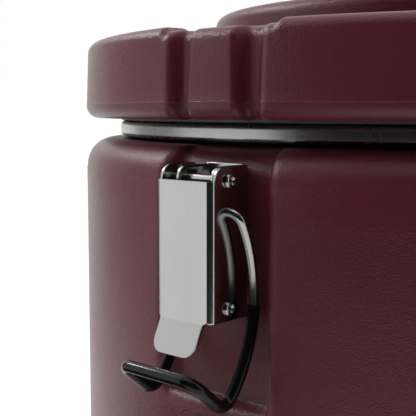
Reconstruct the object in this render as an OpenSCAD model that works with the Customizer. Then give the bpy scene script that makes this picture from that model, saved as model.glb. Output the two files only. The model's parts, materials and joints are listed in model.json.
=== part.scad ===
// Insulated soup carrier: a foam filled moulded body with a steel pot, a lift-off lid and two draw latches.
// Millimetres, +Z up. The origin is the centre of the foot ring, on the floor.
// The two latches face -Y (front) and +Y (back). The two hand grips face +X and -X.

/* [Body] */
// Outer radius of the body and of the lid's rim
body_r = 215; // [200:1:230]
// Height of the body, without the lid
body_h = 360; // [330:1:420]
// Wall of the moulded shells
wall = 6; // [4:0.5:7]
// Rounding of the body's top shoulder
shoulder_r = 15; // [10:1:18]
// Rounding of the body's bottom edge
foot_round = 12; // [8:1:16]
// Gap left round the foam cores
foam_gap = 0.2; // [0.1:0.1:0.5]
// Radius of the plugs that close the foam filling holes
plug_hole_r = 11; // [8:1:14]

/* [Hand grips] */
// Height of a grip pocket's lower edge above the floor
grip_z = 118; // [90:1:140]
// Width of a grip pocket
grip_w = 122; // [100:1:140]
// Height of a grip pocket's mouth
grip_h = 46; // [38:1:56]
// Depth of a grip pocket
grip_depth = 30; // [24:1:32]
// How far the pocket's roof rises behind its lip
grip_undercut = 14; // [8:1:20]
// Thickness of the lip that the fingers hook behind
grip_lip = 12; // [9:1:15]

/* [Pot] */
// Inner radius of the steel pot
pot_r = 165; // [150:1:168]
// Depth of the steel pot
pot_depth = 300; // [260:1:310]
// Sheet thickness of the pot
pot_sheet = 1; // [0.8:0.1:1.5]
// Rounding inside the pot's bottom edge
pot_round = 22; // [12:1:35]
// Radius of the wired bead round the pot's rim
bead_r = 4.2; // [3:0.1:5]
// Radius to the middle of the bead
bead_mid_r = 191.8; // [186:0.2:194]

/* [Lid] */
// How far the lid's edge stands above the bead
lid_over_bead = 1.5; // [1:0.1:3]
// Height of the rim above the lid's edge
rim_h = 40; // [36:0.5:44]
// Width of the rim, measured inwards
rim_w = 18.5; // [17:0.5:19]
// Height of the trough's floor above the lid's edge
trough_h = 23; // [20:0.5:25]
// Radius of the raised middle
plateau_r = 142; // [120:1:155]
// Height of the raised middle above the lid's edge
plateau_h = 56.5; // [53:0.5:66]
// Rounding of the rim's top outer edge
rim_round = 5; // [3:0.5:7]
// Rounding of the lid's lower edge
edge_round = 4; // [2:0.5:6]
// Rounding at the foot of the trough's walls
trough_round = 7; // [4:0.5:9]
// Depth of the step under the lid that keeps it centred inside the bead
lid_plug_h = 6; // [4:0.5:7]
// Gap between that step and the bead
lid_plug_gap = 3; // [2:0.5:6]
// Width of the gasket
gasket_w = 8; // [6:0.5:9]
// Depth of the gasket's groove in the lid
gasket_groove = 4; // [3:0.5:5]
// Gap between a loaded seat and what rests on it
seat_gap = 0.3; // [0.2:0.1:0.5]

/* [Latch seat] */
// Depth of the flat floor that carries a latch
recess_depth = 9.5; // [8:0.5:11]
// Height of the latch recess, down from the body's top
recess_h = 113.5; // [104:0.5:124]
// Room beside the wire loop in the recess
recess_side = 7.2; // [6:0.2:12]
// Rounding of the upright edges of the recess
recess_round = 9; // [5:0.5:10]
// Rounding of the ledge under the recess
ledge_round = 8.5; // [5:0.5:9]
// Width of the two lid grooves that clear the wire loop
groove_w = 13; // [11:0.2:15]
// Depth of those grooves
groove_depth = 6.7; // [5:0.1:8]
// How far the lid's rim is cut down at a latch
catch_drop = 2; // [1:0.2:3]
// How far that cut runs on beside the grooves
catch_side = 2.6; // [1:0.2:5]
// Rounding of the grooves' upright edges
groove_round = 3.5; // [2:0.5:4]

/* [Latch] */
// Distance of the pivot below the lid's edge
pivot_drop = 23.5; // [21:0.5:27]
// Distance of the pivot out from the recess floor
pivot_out = 13.6; // [13:0.1:15]
// Width of the lever
lever_w = 30.4; // [28:0.2:34]
// Length of the lever's face below the pivot
lever_h = 56.4; // [50:0.2:62]
// Distance of the lever's face in front of the pivot
face_out = 10.7; // [10:0.1:12]
// Distance of the flanges' back edge behind the pivot
flange_back = 11.2; // [10:0.1:11.5]
// Rise of the flanges above the pivot
flange_rise = 5.2; // [4:0.1:6]
// Sheet thickness of the lever
lever_sheet = 1.2; // [1:0.1:1.5]
// Outer bend radius of the lever
lever_bend = 2; // [1.6:0.1:3]
// Length of the thumb tab
tab_l = 16.4; // [12:0.2:20]
// Width of the thumb tab
tab_w = 23; // [18:0.5:25]
// Angle of the thumb tab, out from the lever's face
tab_angle = 24; // [18:1:34]
// Distance of the thumb tab's left edge from the bend of the lever's left flange
tab_side = 0.5; // [0.3:0.1:2.5]
// Rounding of the thumb tab's corners
tab_round = 5; // [3:0.5:7]
// Distance of the wire loop's hole below the pivot
hole_drop = 12.4; // [11:0.2:14]
// Distance of the cross rivet below the pivot
rivet_drop = 51.3; // [46:0.1:52]
// Radius of the pivot pin and the cross rivet
pin_r = 2.2; // [2:0.1:2.6]
// Radius of their heads
pin_head_r = 3; // [2.8:0.1:3.6]
// Height of their heads
pin_head_h = 1.4; // [1:0.1:1.6]
// Running clearance of pins and wire in their holes
pin_clear = 0.05; // [0.03:0.01:0.08]
// Sheet thickness of the base bracket
base_sheet = 1.5; // [1.2:0.1:1.8]
// Gap between the lever's flanges and the bracket's ears
ear_gap = 3.8; // [3.4:0.1:4.4]
// Radius of an ear round the pivot
ear_r = 6; // [5:0.1:6.6]
// Height of the bracket's plate above the pivot
base_rise = 6.6; // [6.2:0.1:9]
// Height of the bracket's plate below the pivot
base_fall = 46; // [42:0.5:48]
// Distance of the upper screw below the pivot
screw_drop = 20; // [18:0.5:22]
// Spacing of the two screws
screw_step = 18; // [16:0.5:20]
// Radius of a screw's shank
screw_r = 2; // [1.6:0.1:2.4]
// Radius of a screw's head
screw_head_r = 4; // [3.4:0.1:4.6]
// Height of a screw's head
screw_head_h = 2.2; // [1.6:0.1:2.6]
// Length of a screw in the moulded wall
screw_l = 5; // [4:0.1:5.5]

/* [Wire loop] */
// Radius of the wire
wire_r = 2; // [1.8:0.05:2.2]
// Outer radius of the sleeve
sleeve_r = 2.6; // [2.4:0.05:2.8]
// Radius of the curve of a leg
leg_curve_r = 62.4; // [58:0.2:68]
// Angle that a leg's curve runs through
leg_sweep = 68; // [62:1:71]
// Angle along a leg where the sleeve begins
sleeve_from = 32; // [20:1:40]
// Gap between the hanging sleeve and the recess floor
leg_gap = 1.2; // [0.6:0.1:1.6]
// Bend radius at the wire's corners
wire_bend = 5; // [4.4:0.1:5.6]
// Bend radius of the hook and of the crossbar's ends
hook_bend = 5.8; // [5:0.1:7]
// Angle that the hook turns back through
hook_turn = 85; // [78:1:94]
// Length of the hook's return, up to the crossbar
hook_l = 20.8; // [17:0.2:23]
// Length of wire end that reaches inside the flange
wire_end = 2.3; // [1.8:0.1:2.6]

/* [Vent] */
// Radius of the vent's pocket in the lid
vent_pocket_r = 27; // [24:1:32]
// Depth of that pocket
vent_pocket_h = 12; // [11:0.5:14]
// Bore radius of the vent bush
vent_r = 6; // [5:0.5:7]
// Wall of the vent bush
vent_wall = 3; // [2:0.5:4]
// Radius of the bush's flange
vent_flange_r = 15; // [14:0.5:17]
// Thickness of the bush's flange
vent_flange_h = 2.5; // [2:0.5:3]
// Radius of the cap
vent_cap_r = 17; // [15:0.5:20]
// Height of the cap
vent_cap_h = 6; // [5:0.5:7]
// Depth of the cap's stem in the bush
vent_stem_h = 14; // [10:1:18]
// Thickness of the seal ring under the cap
vent_seal_h = 1.6; // [1.2:0.1:2]

/* [Hidden] */
$fn = 72;

moulded = "#4a2328";
foam = "#d8cfa8";
steel = "#c9cac8";
bright_steel = "#dcdddb";
black_sleeve = "#1c1c1d";
silicone = "#4a4947";
black_plastic = "#262425";

// Overcut that carries a cut clear of the surface it leaves through
past = 1;
// Heights
bead_sink = 0.4;
bead_top = body_h + pot_sheet + 2 * bead_r - bead_sink;
lid_z = bead_top + lid_over_bead;
stack_gap = 3;
stack_depth = plateau_h - rim_h + stack_gap;
stack_r = plateau_r + 2 * stack_gap;
core_floor = stack_depth + wall;
pot_floor = body_h - pot_depth;

// Latch places: n is the distance out from the carrier's axis, t runs across, z is the height
floor_n = body_r - recess_depth;
pivot_n = floor_n + pivot_out;
pivot_z = lid_z - pivot_drop;
face_n = pivot_n + face_out;
back_n = pivot_n - flange_back;
lever_bottom = pivot_z - lever_h;
tab_mid = lever_bend + tab_side + tab_w / 2 - lever_w / 2;
hole_z = pivot_z - hole_drop;
rivet_z = pivot_z - rivet_drop;
base_w = lever_w - 2 * (lever_sheet + ear_gap);
screw_z = [pivot_z - screw_drop, pivot_z - screw_drop - screw_step];
ledge_z = body_h - recess_h;

// Wire loop: a leg leaves the hole, curves round below it and ends in a hook
loop_t = lever_w / 2 + wire_bend;
leg_reach = pivot_n - leg_curve_r - floor_n - sleeve_r - leg_gap;
leg_from = atan2(wire_bend, leg_curve_r) + acos(leg_reach / norm([leg_curve_r, wire_bend]));
leg_start = [pivot_n, hole_z] + wire_bend * [cos(leg_from + 90), sin(leg_from + 90)];
leg_mid = leg_start - leg_curve_r * [cos(leg_from), sin(leg_from)];
leg_to = leg_from + leg_sweep;
hook_mid = leg_mid + (leg_curve_r - hook_bend) * [cos(leg_to), sin(leg_to)];
hook_to = leg_to + hook_turn;
hook_end = hook_mid + hook_bend * [cos(hook_to), sin(hook_to)];
hook_run = hook_l - hook_bend;
bar_start = hook_end + hook_run * [cos(hook_to + 90), sin(hook_to + 90)];
sleeve_clear = 0.08;
wire_sides = 14;

// Latch seat
recess_w = 2 * (loop_t + sleeve_r + recess_side);
catch_w = 2 * (loop_t + groove_w / 2 + catch_side);

// Lid
gasket_r = bead_mid_r - gasket_w / 2;
lid_plug_r = bead_mid_r - bead_r - lid_plug_gap;
lid_core_r = body_r - groove_depth - wall - rim_w / 2;
vent_floor = plateau_h - vent_pocket_h;
vent_hole_r = vent_r + vent_wall;
vent_clear = 0.1;
vent_tail = 1.5;

// Takes the sharp corner at the origin off a profile that lies left of it and below it
module corner_cut(r)
  difference() {
    translate([-r, -r]) square(r + past);
    translate([-r, -r]) circle(r);
  }

// Fills the inside corner at the origin between a wall on the left and a floor below
module corner_fill(r)
  difference() {
    translate([-past, -past]) square(r + past);
    translate([r, r]) circle(r);
  }

// Draws a profile of n and z at one place across the latch
module in_plane(t = 0) translate([t, 0, 0]) rotate([90, 0, -90]) children();

// Extrudes a profile of n and z across the latch
module across(w) in_plane() linear_extrude(w, center = true) children();

// Extrudes a plan of t and n upwards
module upward(z, h) translate([0, 0, z]) linear_extrude(h) mirror([0, 1]) children();

// A round bar across the latch
module cross_bar(n, z, r, w) translate([0, -n, z]) rotate([0, 90, 0]) cylinder(h = w, r = r, center = true);

// Rounds an upright edge at t into the round outer face; side says where the material is
module edge_round_plan(t, side, r) {
  mid_t = t + side * r;
  mid_n = sqrt(pow(body_r - r, 2) - pow(mid_t, 2));
  reach = (body_r + r) / (body_r - r);
  difference() {
    polygon([[t, mid_n], [mid_t, mid_n], [mid_t, mid_n] * reach, [t, mid_n * reach]]);
    translate([mid_t, mid_n]) circle(r);
  }
}

// Plan of an upright notch in the round outer face
module notch_plan(t0, t1, floor_n, r) {
  polygon([[t0, floor_n], [t1, floor_n], [t1, body_r + r], [t0, body_r + r]]);
  edge_round_plan(t1, 1, r);
  edge_round_plan(t0, -1, r);
}

// Both latches, or one of them
module front() children();
module back() rotate([0, 0, 180]) children();
module both_latches() {
  front() children();
  back() children();
}
module both_grips() for (turn = [90, -90]) rotate([0, 0, turn]) children();

// Side view of the latch recess: its floor, its shoulder and the ledge under it
module recess_profile()
  difference() {
    union() {
      translate([floor_n, ledge_z]) square([recess_depth + ledge_round, recess_h + past]);
      translate([floor_n, body_h]) corner_cut(shoulder_r);
      translate([body_r, ledge_z]) corner_cut(ledge_round);
    }
    translate([floor_n, ledge_z]) corner_fill(ledge_round);
  }

module recess_cut()
  intersection() {
    upward(ledge_z - 2 * ledge_round, recess_h + 3 * ledge_round)
      notch_plan(-recess_w / 2, recess_w / 2, floor_n - shoulder_r, recess_round);
    across(recess_w + 6 * recess_round) recess_profile();
  }

// Side view of a grip pocket, grown by g
module grip_profile(g = 0)
  polygon([[body_r + past, grip_z - g], [body_r - grip_depth - g, grip_z - g],
    [body_r - grip_depth - g, grip_z + grip_h + grip_undercut + g],
    [body_r - grip_lip + g / 2, grip_z + grip_h + grip_undercut + g],
    [body_r - grip_lip + g / 2, grip_z + grip_h + g], [body_r + past, grip_z + grip_h + g]]);

module grip_cut(g = 0) across(grip_w + 2 * g) grip_profile(g);

// The space inside the body's walls, made smaller by g
module body_core(g) {
  core_r = body_r - wall - g;
  difference() {
    rotate_extrude()
      difference() {
        union() {
          translate([0, core_floor + g]) square([core_r, body_h - wall - core_floor - 2 * g]);
          translate([stack_r + wall + g, wall + g])
            square([core_r - stack_r - wall - g, core_floor]);
        }
        translate([core_r, body_h - wall - g]) corner_cut(shoulder_r - wall);
        translate([core_r, wall + g]) mirror([0, 1]) corner_cut(foot_round - wall);
      }
    both_latches()
      translate([-recess_w / 2 - wall - g, -body_r, ledge_z - ledge_round - wall - g])
        cube([recess_w + 2 * (wall + g), recess_depth + wall + g, recess_h + 2 * ledge_round + wall + g]);
    both_grips() grip_cut(wall + g);
  }
}

// Screws and filling plugs sit in holes of the body's wall
module screw_holes(r, l)
  for (z = screw_z) translate([0, -floor_n, z]) rotate([-90, 0, 0]) cylinder(h = l, r = r);

module at_filling_holes()
  for (x = [-1, 1]) translate([x * stack_r / 2, 0, stack_depth]) children();

module body_shell()
  color(moulded) difference() {
    rotate_extrude()
      difference() {
        square([body_r, body_h]);
        translate([body_r, body_h]) corner_cut(shoulder_r);
        translate([body_r, 0]) mirror([0, 1]) corner_cut(foot_round);
        translate([-past, -past]) square([stack_r + past, stack_depth + past]);
        translate([stack_r, 0]) mirror([1, 0]) mirror([0, 1]) corner_cut(wall / 2);
      }
    body_core(0);
    translate([0, 0, core_floor]) cylinder(h = body_h, r = pot_r + pot_sheet + seat_gap);
    both_latches() {
      recess_cut();
      translate([0, -past, 0]) screw_holes(screw_r + pin_clear, past + screw_l + seat_gap);
    }
    both_grips() grip_cut();
    at_filling_holes() translate([0, 0, -past]) cylinder(h = wall + 2 * past, r = plug_hole_r + seat_gap);
  }

module body_foam()
  color(foam) difference() {
    body_core(foam_gap);
    translate([0, 0, pot_floor - pot_sheet - foam_gap])
      cylinder(h = body_h, r = pot_r + pot_sheet + foam_gap);
  }

// Push-in plugs that close the foam filling holes in the base
module foam_plugs()
  color(black_plastic) at_filling_holes() {
    cylinder(h = wall, r = plug_hole_r);
    translate([0, 0, -wall / 3]) cylinder(h = wall / 3, r1 = plug_hole_r + wall / 3, r2 = plug_hole_r + wall / 2);
  }

module pot() {
  out_r = pot_r + pot_sheet;
  color(bright_steel) rotate_extrude() {
    difference() {
      translate([0, pot_floor - pot_sheet]) square([out_r, pot_depth + 2 * pot_sheet]);
      translate([out_r, pot_floor - pot_sheet]) mirror([0, 1]) corner_cut(pot_round + pot_sheet);
      difference() {
        translate([-past, pot_floor]) square([pot_r + past, body_h]);
        translate([pot_r, pot_floor]) mirror([0, 1]) corner_cut(pot_round);
      }
    }
    translate([pot_r, body_h]) square([bead_mid_r - pot_r, pot_sheet]);
    translate([bead_mid_r, bead_top - bead_r]) circle(bead_r);
  }
}

// Foam space of the lid, made smaller by g, above the lid's edge
module lid_core(g)
  difference() {
    rotate_extrude() {
      translate([0, wall + g]) square([lid_core_r - g, trough_h - 2 * wall - 2 * g]);
      translate([0, wall - lid_plug_h + g])
        square([lid_plug_r - wall - g, lid_plug_h + trough_h - 2 * wall - 2 * g]);
      translate([0, wall + g]) square([plateau_r - wall - g, plateau_h - 2 * wall - 2 * g]);
    }
    translate([0, 0, vent_floor - wall - g]) cylinder(h = vent_pocket_h + wall, r = vent_pocket_r + wall + g);
  }

module lid_profile()
  difference() {
    union() {
      square([body_r, trough_h]);
      translate([body_r - rim_w, 0]) square([rim_w, rim_h]);
      square([plateau_r, plateau_h]);
      translate([0, -lid_plug_h]) square([lid_plug_r, lid_plug_h + past]);
      translate([plateau_r, trough_h]) corner_fill(trough_round);
      translate([body_r - rim_w, trough_h]) mirror([1, 0]) corner_fill(trough_round);
    }
    translate([body_r, rim_h]) corner_cut(rim_round);
    translate([body_r - rim_w, rim_h]) mirror([1, 0]) corner_cut(rim_round);
    translate([body_r, 0]) mirror([0, 1]) corner_cut(edge_round);
    translate([plateau_r, plateau_h]) corner_cut(rim_round);
    translate([lid_plug_r, -lid_plug_h]) mirror([0, 1]) corner_cut(edge_round);
    translate([gasket_r, -past]) square([gasket_w, gasket_groove + past]);
    translate([-past, vent_floor]) square([vent_pocket_r + past, vent_pocket_h + past]);
  }

// The lid's rim is lowered at a latch, with sloping ends and a groove for each leg of the wire loop
module catch_cut() {
  top_w = catch_w + 2 * (catch_drop + past);
  translate([0, rim_w + rim_round - body_r, rim_h]) rotate([90, 0, 0])
    linear_extrude(rim_w + rim_round + past)
      polygon([[-catch_w / 2, -catch_drop], [catch_w / 2, -catch_drop], [top_w / 2, past], [-top_w / 2, past]]);
  for (t = [-loop_t, loop_t])
    upward(-past, rim_h + 2 * past)
      notch_plan(t - groove_w / 2, t + groove_w / 2, body_r - groove_depth, groove_round);
}

module lid_shell()
  color(moulded) translate([0, 0, lid_z]) difference() {
    rotate_extrude() lid_profile();
    lid_core(0);
    both_latches() catch_cut();
    translate([0, 0, -lid_plug_h - past])
      cylinder(h = plateau_h + lid_plug_h, r = vent_hole_r + vent_clear);
  }

module lid_foam()
  color(foam) translate([0, 0, lid_z]) difference() {
    lid_core(foam_gap);
    translate([0, 0, -lid_plug_h]) cylinder(h = plateau_h + lid_plug_h, r = vent_hole_r + vent_clear);
  }

module lid_gasket()
  color(silicone) rotate_extrude()
    translate([gasket_r, bead_top + seat_gap])
      square([gasket_w, lid_over_bead - seat_gap + gasket_groove]);

module vent_bush()
  color(black_plastic) translate([0, 0, lid_z]) difference() {
    union() {
      translate([0, 0, -lid_plug_h - vent_tail])
        cylinder(h = vent_floor + lid_plug_h + vent_tail + past, r = vent_hole_r);
      translate([0, 0, vent_floor]) cylinder(h = vent_flange_h, r = vent_flange_r);
    }
    translate([0, 0, -lid_plug_h - vent_tail - past])
      cylinder(h = plateau_h + lid_plug_h + vent_tail + past, r = vent_r);
  }

module vent_seal()
  color(silicone) translate([0, 0, lid_z + vent_floor + vent_flange_h]) difference() {
    cylinder(h = vent_seal_h, r = vent_flange_r - vent_wall);
    translate([0, 0, -past]) cylinder(h = vent_seal_h + 2 * past, r = vent_r + vent_clear);
  }

// A low knob on a stem that plugs the vent
module vent_cap() {
  seat = vent_floor + vent_flange_h + vent_seal_h + vent_clear;
  color(black_plastic) translate([0, 0, lid_z + seat]) rotate_extrude() {
    difference() {
      square([vent_cap_r, vent_cap_h]);
      translate([vent_cap_r, vent_cap_h]) corner_cut(vent_cap_h / 3);
    }
    translate([0, -vent_stem_h]) square([vent_r - vent_clear, vent_stem_h + past]);
  }
}

// Side view of one ear of the base bracket
module ear_profile() {
  translate([pivot_n, pivot_z]) circle(ear_r);
  polygon([[floor_n, pivot_z + ear_r], [pivot_n, pivot_z + ear_r], [pivot_n + ear_r, pivot_z],
    [pivot_n, pivot_z - ear_r], [floor_n + base_sheet, pivot_z - base_fall / 2],
    [floor_n, pivot_z - base_fall / 2]]);
}

module latch_base()
  color(steel) difference() {
    union() {
      translate([-base_w / 2, -floor_n - base_sheet, pivot_z - base_fall])
        cube([base_w, base_sheet, base_fall + base_rise]);
      for (side = [-1, 1])
        translate([side * (base_w - base_sheet) / 2, 0, 0]) across(base_sheet) ear_profile();
    }
    cross_bar(pivot_n, pivot_z, pin_r, lever_w);
    translate([0, -base_sheet - past, 0]) screw_holes(screw_r + pin_clear, base_sheet + 2 * past);
  }

module base_screws()
  color(bright_steel) translate([0, -base_sheet, 0]) {
    screw_holes(screw_r, base_sheet + screw_l);
    for (z = screw_z)
      translate([0, -floor_n, z]) rotate([90, 0, 0])
        rotate_extrude() difference() {
          square([screw_head_r, screw_head_h]);
          translate([screw_head_r, screw_head_h]) corner_cut(screw_head_h * 0.8);
        }
  }

// A headed pin across the latch; gap is the room between its heads and the flanges
module headed_pin(z, gap) {
  cross_bar(pivot_n, z, pin_r, lever_w + 2 * gap);
  for (side = [-1, 1])
    translate([side * (lever_w / 2 + gap), -pivot_n, z]) rotate([0, side * 90, 0])
      rotate_extrude() difference() {
        square([pin_head_r, pin_head_h]);
        translate([pin_head_r, pin_head_h]) corner_cut(pin_head_h * 0.7);
      }
}

module pivot_pin() color(bright_steel) headed_pin(pivot_z, seat_gap);

module cross_rivet() color(bright_steel) headed_pin(rivet_z, 0);

// Plan of the lever's folded sheet, grown inwards by g from its outer face
module lever_plan(g) {
  half = lever_w / 2 - g;
  bend = max(lever_bend - g, 0.1);
  difference() {
    translate([-half, back_n - g * past * 2]) square([2 * half, face_n - back_n - g + g * past * 2]);
    translate([half, face_n - g]) corner_cut(bend);
    translate([-half, face_n - g]) mirror([1, 0]) corner_cut(bend);
  }
}

// The thumb tab, flat, hanging down from its bend line
module tab_plan()
  difference() {
    translate([-tab_w / 2, -tab_l]) square([tab_w, tab_l]);
    translate([tab_w / 2, -tab_l]) mirror([0, 1]) corner_cut(tab_round);
    translate([-tab_w / 2, -tab_l]) mirror([1, 0]) mirror([0, 1]) corner_cut(tab_round);
  }

module lever() {
  bend_n = face_n - lever_sheet / 2;
  color(steel) difference() {
    union() {
      upward(lever_bottom, lever_h + flange_rise)
        difference() {
          lever_plan(0);
          lever_plan(lever_sheet);
        }
      translate([tab_mid, 0, 0]) {
        cross_bar(bend_n, lever_bottom, lever_sheet / 2, tab_w - lever_sheet / 2);
        translate([0, -bend_n, lever_bottom]) rotate([90 - tab_angle, 0, 0])
          linear_extrude(lever_sheet, center = true) tab_plan();
      }
    }
    across(lever_w + past) difference() {
      translate([face_n - lever_bend - flange_rise - lever_sheet, pivot_z])
        square([lever_bend + flange_rise + lever_sheet + past, flange_rise + past]);
      translate([face_n - lever_bend - flange_rise - lever_sheet, pivot_z]) circle(flange_rise);
    }
    cross_bar(pivot_n, pivot_z, pin_r + pin_clear, lever_w + past);
    cross_bar(pivot_n, rivet_z, pin_r, lever_w + past);
    cross_bar(pivot_n, hole_z, wire_r + pin_clear, lever_w + past);
  }
}

// One ring of the wire's course: its middle, its heading and the normal it is drawn from.
// tilt turns the heading from the leg's plane towards the middle of the latch.
function stop(q, t, heading, tilt = 0) = [
  [t, -q[0], q[1]],
  cos(tilt) * [0, -cos(heading), sin(heading)] - sin(tilt) * [1, 0, 0],
  [0, sin(heading), cos(heading)]
];
function toward(a) = [cos(a), sin(a)];
function elbow_stop(q, heading, bend, tilt) =
  stop(q + bend * sin(tilt) * toward(heading), loop_t - bend * (1 - cos(tilt)), heading, tilt);
function arc_stop(mid, bend, a) = stop(mid + bend * toward(a), loop_t, a + 90);

// The right half of the course, in two lengths: from the wire's end to the sleeve, and on to the crossbar
bare_course = concat(
  [stop([pivot_n, hole_z], lever_w / 2 - lever_sheet - wire_end, leg_from + 90, -90)],
  [for (tilt = [-90:15:-15]) elbow_stop(leg_start, leg_from + 90, wire_bend, tilt)],
  [for (i = [0:4]) arc_stop(leg_mid, leg_curve_r, leg_from + sleeve_from * i / 5)]);
sleeved_course = concat(
  [for (i = [0:5]) arc_stop(leg_mid, leg_curve_r, leg_from + sleeve_from + (leg_sweep - sleeve_from) * i / 6)],
  [for (i = [0:6]) arc_stop(hook_mid, hook_bend, leg_to + hook_turn * i / 6)],
  [for (tilt = [0:15:90]) elbow_stop(bar_start, hook_to + 90, hook_bend, tilt)]);

// The left half, met in the same direction of travel
function other_half(course) = [for (i = [len(course) - 1:-1:0]) let (s = course[i])
  [[-s[0][0], s[0][1], s[0][2]], [s[1][0], -s[1][1], -s[1][2]], s[2]]];
function whole(course) = concat(course, other_half(course));

function rings(course, r) = [for (s = course, i = [0:wire_sides - 1])
  s[0] + r * (cos(360 * i / wire_sides) * s[2] + sin(360 * i / wire_sides) * cross(s[1], s[2]))];

// Faces between neighbouring rings, numbered from the ring point first
function skin(count, first = 0) = [for (j = [0:count - 2], i = [0:wire_sides - 1])
  let (a = first + j * wire_sides + i, b = first + j * wire_sides + (i + 1) % wire_sides)
  each [[a, a + wire_sides, b + wire_sides], [a, b + wire_sides, b]]];
function flipped(faces) = [for (f = faces) [f[2], f[1], f[0]]];

// Ring of faces that closes one end of a sleeve
function end_ring(outer, inner) = [for (i = [0:wire_sides - 1]) let (k = (i + 1) % wire_sides)
  each [[outer + i, outer + k, inner + k], [outer + i, inner + k, inner + i]]];

module wire_loop() {
  course = whole(concat(bare_course, sleeved_course));
  last = (len(course) - 1) * wire_sides;
  color(bright_steel) polyhedron(rings(course, wire_r), concat(skin(len(course)),
    [[for (i = [0:wire_sides - 1]) i], [for (i = [wire_sides - 1:-1:0]) last + i]]));
}

module loop_sleeve() {
  course = whole(sleeved_course);
  count = len(course);
  bore = count * wire_sides;
  last = (count - 1) * wire_sides;
  color(black_sleeve) polyhedron(
    concat(rings(course, sleeve_r), rings(course, wire_r + sleeve_clear)),
    concat(skin(count), flipped(skin(count, bore)), end_ring(0, bore),
      flipped(end_ring(last, bore + last))));
}

module front_latch_base() front() latch_base();
module front_base_screws() front() base_screws();
module front_pivot_pin() front() pivot_pin();
module front_lever() front() lever();
module front_cross_rivet() front() cross_rivet();
module front_wire_loop() front() wire_loop();
module front_loop_sleeve() front() loop_sleeve();
module back_latch_base() back() latch_base();
module back_base_screws() back() base_screws();
module back_pivot_pin() back() pivot_pin();
module back_lever() back() lever();
module back_cross_rivet() back() cross_rivet();
module back_wire_loop() back() wire_loop();
module back_loop_sleeve() back() loop_sleeve();

body_shell();
body_foam();
foam_plugs();
pot();
lid_shell();
lid_foam();
lid_gasket();
vent_bush();
vent_seal();
vent_cap();
front_latch_base();
front_base_screws();
front_pivot_pin();
front_lever();
front_cross_rivet();
front_wire_loop();
front_loop_sleeve();
back_latch_base();
back_base_screws();
back_pivot_pin();
back_lever();
back_cross_rivet();
back_wire_loop();
back_loop_sleeve();
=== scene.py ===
"""Looks of an insulated soup carrier: moulded burgundy body and lid, steel pot, wire-loop draw latches."""
import json
import math

import bpy
import numpy as np
from mathutils import Matrix, Vector

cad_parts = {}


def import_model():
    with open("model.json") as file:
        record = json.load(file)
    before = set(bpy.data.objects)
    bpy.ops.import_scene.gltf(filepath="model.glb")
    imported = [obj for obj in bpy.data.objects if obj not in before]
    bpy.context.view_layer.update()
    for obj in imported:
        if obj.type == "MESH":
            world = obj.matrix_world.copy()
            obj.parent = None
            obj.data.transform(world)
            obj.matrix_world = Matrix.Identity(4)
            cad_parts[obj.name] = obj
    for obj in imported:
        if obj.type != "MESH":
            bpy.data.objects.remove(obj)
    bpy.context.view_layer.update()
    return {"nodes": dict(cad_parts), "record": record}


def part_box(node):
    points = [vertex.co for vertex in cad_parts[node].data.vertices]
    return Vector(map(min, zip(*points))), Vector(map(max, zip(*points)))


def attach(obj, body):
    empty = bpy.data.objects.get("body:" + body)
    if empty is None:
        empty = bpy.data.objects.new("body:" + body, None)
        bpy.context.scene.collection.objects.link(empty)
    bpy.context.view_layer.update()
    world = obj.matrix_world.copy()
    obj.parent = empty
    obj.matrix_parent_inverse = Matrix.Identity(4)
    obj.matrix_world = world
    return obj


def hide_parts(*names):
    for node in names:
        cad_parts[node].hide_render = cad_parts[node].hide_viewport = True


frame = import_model()
nodes = frame["nodes"]
joints = {joint["name"]: joint for joint in frame["record"]["behaviour"]["joints"]}

MM = 0.001
HAIR = 0.01
SAME_POINT = 0.02
FAR = 1000.0


def lowest(name):
    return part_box(name)[0] / MM


def highest(name):
    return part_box(name)[1] / MM


# Body, in millimetres
BODY_R = highest("body_shell").y
BODY_H = highest("body_shell").z
WALL = 6.0
FOOT_ROUND = 12.0
SHOULDER = 15.0
MOUTH_R = 166.3
MOUTH_ROUND = 2.0
STACK_R = 148.0
STACK_ROUND = 3.0
STACK_DEPTH = highest("foam_plugs").z - WALL
PARTING_STEP = 0.3
PARTING_LOW = 1.0
PARTING_HIGH = 0.4

# Latch recess in the body
RECESS_DEPTH = 9.5
RECESS_FOOT = 24.4
RECESS_ROUND = 6.5
RECESS_FILLET = 3.0
RECESS_TURN = 70.0
LEDGE_FOOT_Z = 256.0
LEDGE_TURN = 80.0
LEDGE_RUN = 12.0
LAND_R = 176.0
RECESS_INNER_R = 150.0
LATCH_SPAN = 0.35

# Hand grips
GRIP_LOW = 100.0
GRIP_HIGH = 200.0
GRIP_HALF = 61.0
GRIP_WALL = 9.0
GRIP_HOLLOW = GRIP_HALF - 3 * GRIP_WALL
GRIP_FLOOR = 118.0
GRIP_LIP_Z = 164.0
GRIP_ROOF = 178.0
GRIP_BACK = BODY_R - 30.0
GRIP_LIP = BODY_R - 12.0
GRIP_EDGE = 5.0
GRIP_CORNER = 6.0
GRIP_ROOF_FALL = 0.95
GRIP_LEAST_COS = 0.5

# Pot and gasket
POT_R = 165.0
POT_SHEET = 1.0
POT_ROUND = 22.0
POT_LIP_ROUND = 3.0
POT_FLOOR = lowest("pot").z + POT_SHEET
BEAD_R = 4.2
BEAD_CORNER = 2.6
BEAD_TUCK = 1.0
BEAD_MID = highest("pot").y - BEAD_R
BEAD_TOP = highest("pot").z
GASKET_R = 187.8
GASKET_W = 8.0
GASKET_GROOVE = 4.0
GASKET_LIP = 0.6
GASKET_LOW = lowest("lid_gasket").z

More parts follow.
